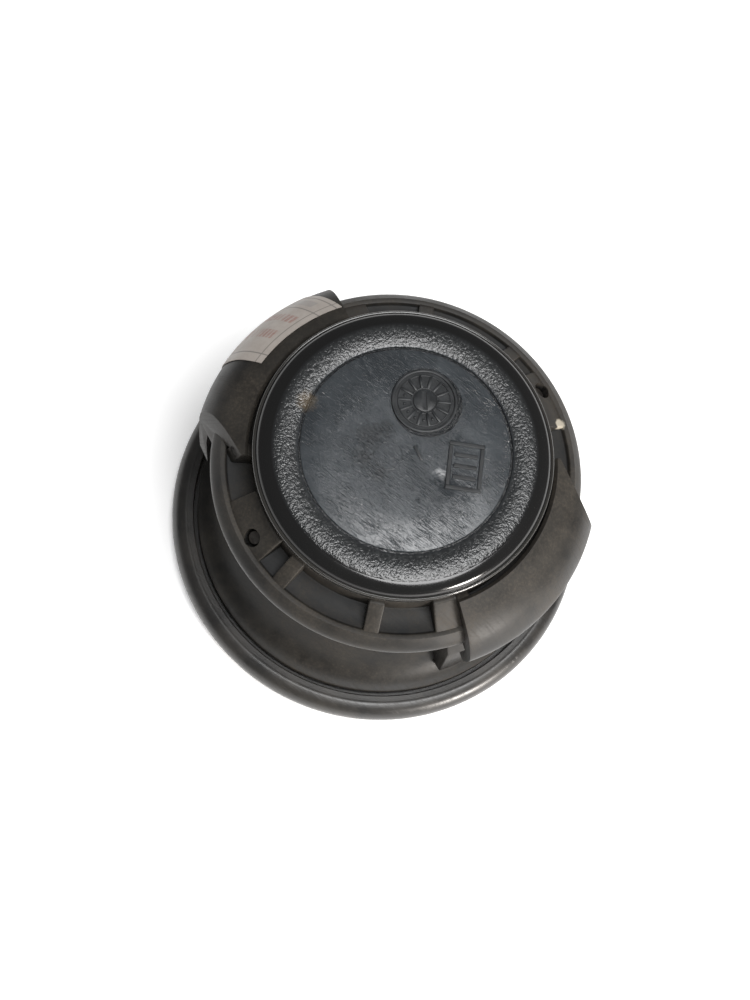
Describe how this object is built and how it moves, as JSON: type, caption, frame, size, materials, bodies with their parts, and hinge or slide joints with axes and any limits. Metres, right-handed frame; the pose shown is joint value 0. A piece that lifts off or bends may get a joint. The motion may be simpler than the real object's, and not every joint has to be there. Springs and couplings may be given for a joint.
{
  "type": "car tweeter",
  "caption": "Round dome tweeter with a front bezel and perforated grille, waisted housing, twist-lock wings, ribbed collar, rear cap and two blade terminals.",
  "frame": {"origin": "centre of the front rim, on the plane that the rim rests on", "axes": "+Z from the front rim to the rear cap, +X through the middle of one retention wing"},
  "size_m": [0.0548, 0.0548, 0.0325],
  "materials": {
    "housing": "satin, dusty",
    "bezel": "satin",
    "cap": "glossy disc, grained ring",
    "grille": "matt black",
    "plastic": "matt",
    "silk": "coated",
    "former": "satin",
    "copper": "enamelled copper wire",
    "steel": "zinc plated",
    "magnet": "nickel plated",
    "brass": "tinned",
    "foam": "open foam",
    "rubber": "matt",
    "sleeve": "shrink sleeve",
    "red_wire": "wire insulation",
    "label": "worn printed paper"
  },
  "bodies": {
    "chassis": {"front_bezel": "bezel", "grille": "grille", "dust_screen": "silk", "faceplate": "plastic", "surround": "silk", "diaphragm_ring": "plastic", "motor_frame": "plastic", "damping_pad": "foam", "pole_plate": "steel", "magnet": "magnet", "motor_cup": "steel", "tinsel_lead_positive": "copper", "tinsel_lead_negative": "copper", "housing": "housing", "terminal_block": "plastic", "terminal_positive": "brass", "terminal_negative": "brass", "crossover_capacitor": "sleeve", "adhesive_pad": "foam", "wire_negative": "rubber", "capacitor_lead_in": "red_wire", "capacitor_lead_out": "red_wire", "cap_gasket": "rubber", "rear_cap": "cap", "chamber_foam": "foam", "boss_screw_1": "steel", "boss_screw_2": "steel", "label": "label"},
    "diaphragm": {"dome": "silk", "coil_former": "former", "coil_winding": "copper"}
  },
  "joints": [
    {"name": "diaphragm_travel", "type": "slide", "parent": "chassis", "child": "diaphragm", "axis": [0, 0, -1], "range_m": [-0.0004, 0.0004], "stiffness_N_per_m": 500, "deforming": ["surround", "tinsel_lead_positive", "tinsel_lead_negative"]}
  ]
}
